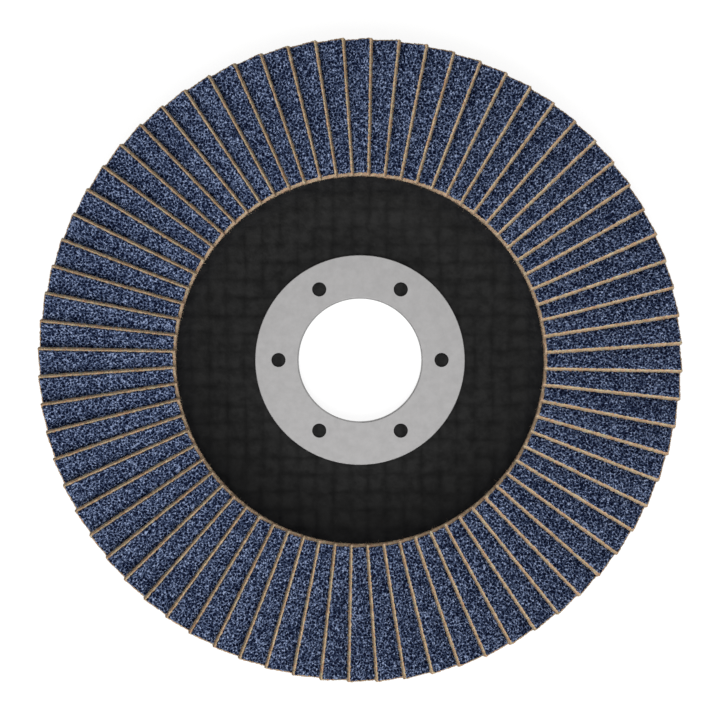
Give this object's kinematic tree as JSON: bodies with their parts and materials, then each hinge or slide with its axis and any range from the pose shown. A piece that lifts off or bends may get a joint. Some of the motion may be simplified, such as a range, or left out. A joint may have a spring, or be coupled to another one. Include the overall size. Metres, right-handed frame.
{
  "type": "flap disc",
  "caption": "Angle-grinder flap disc: overlapping zirconia-coated cloth flaps bonded in a ring on a black glass-fibre plate, with a steel ring crimped in its arbor bore",
  "frame": {"origin": "centre of the disc's back, in the plane of the hub's back face, which is the lowest face", "axes": "+Z is the spindle axis and points out of the working side, where the flaps are; X and Y lie in the disc, with two of the ring's six key holes on the X axis"},
  "size_m": [0.115, 0.115, 0.0127],
  "materials": {
    "coated_cloth": "matte",
    "glass_fibre_plate": "satin",
    "ring_steel": "satin",
    "adhesive": "satin"
  },
  "bodies": {
    "root": {"backing_plate": "glass_fibre_plate", "centre_ring": "ring_steel", "adhesive_bed": "adhesive", "flap_pair_01": "coated_cloth", "flap_pair_02": "coated_cloth", "flap_pair_03": "coated_cloth", "flap_pair_04": "coated_cloth", "flap_pair_05": "coated_cloth", "flap_pair_06": "coated_cloth", "flap_pair_07": "coated_cloth", "flap_pair_08": "coated_cloth", "flap_pair_09": "coated_cloth", "flap_pair_10": "coated_cloth", "flap_pair_11": "coated_cloth", "flap_pair_12": "coated_cloth", "flap_pair_13": "coated_cloth", "flap_pair_14": "coated_cloth", "flap_pair_15": "coated_cloth", "flap_pair_16": "coated_cloth", "flap_pair_17": "coated_cloth", "flap_pair_18": "coated_cloth", "flap_pair_19": "coated_cloth", "flap_pair_20": "coated_cloth", "flap_pair_21": "coated_cloth", "flap_pair_22": "coated_cloth", "flap_pair_23": "coated_cloth", "flap_pair_24": "coated_cloth", "flap_pair_25": "coated_cloth", "flap_pair_26": "coated_cloth", "flap_pair_27": "coated_cloth", "flap_pair_28": "coated_cloth", "flap_pair_29": "coated_cloth", "flap_pair_30": "coated_cloth", "flap_pair_31": "coated_cloth", "flap_pair_32": "coated_cloth", "flap_pair_33": "coated_cloth", "flap_pair_34": "coated_cloth", "flap_pair_35": "coated_cloth", "flap_pair_36": "coated_cloth"}
  },
  "joints": []
}
